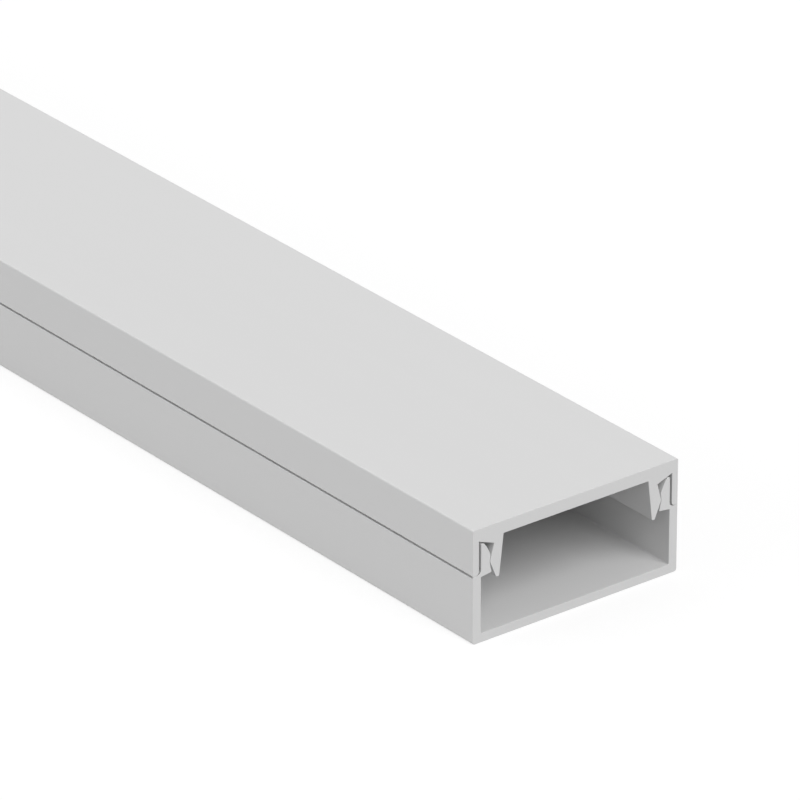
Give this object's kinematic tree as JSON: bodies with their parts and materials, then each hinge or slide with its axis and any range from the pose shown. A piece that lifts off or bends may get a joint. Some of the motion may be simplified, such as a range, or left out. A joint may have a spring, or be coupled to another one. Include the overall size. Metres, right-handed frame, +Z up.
{
  "type": "cable trunking",
  "caption": "Straight length of flat PVC cable trunking: a solid-walled channel with a clip-on lid that carries and hides cables along a wall.",
  "frame": {"origin": "middle of the length, in the centre of the base's flat underside", "axes": "+X along the length, +Y across the width, +Z up from the underside to the lid"},
  "size_m": [1, 0.04, 0.0193],
  "materials": {
    "base_pvc": "extruded pale grey-white rigid PVC, satin, with saw-cut ends",
    "lid_pvc": "extruded pale grey-white rigid PVC, satin, with saw-cut ends"
  },
  "bodies": {
    "base": {"trunking_base": "base_pvc"},
    "lid": {"snap_lid": "lid_pvc"}
  },
  "joints": [
    {"name": "lid_slide", "type": "slide", "parent": "base", "child": "lid", "axis": [1, 0, 0], "range_m": [-0.9, 0.9]}
  ]
}
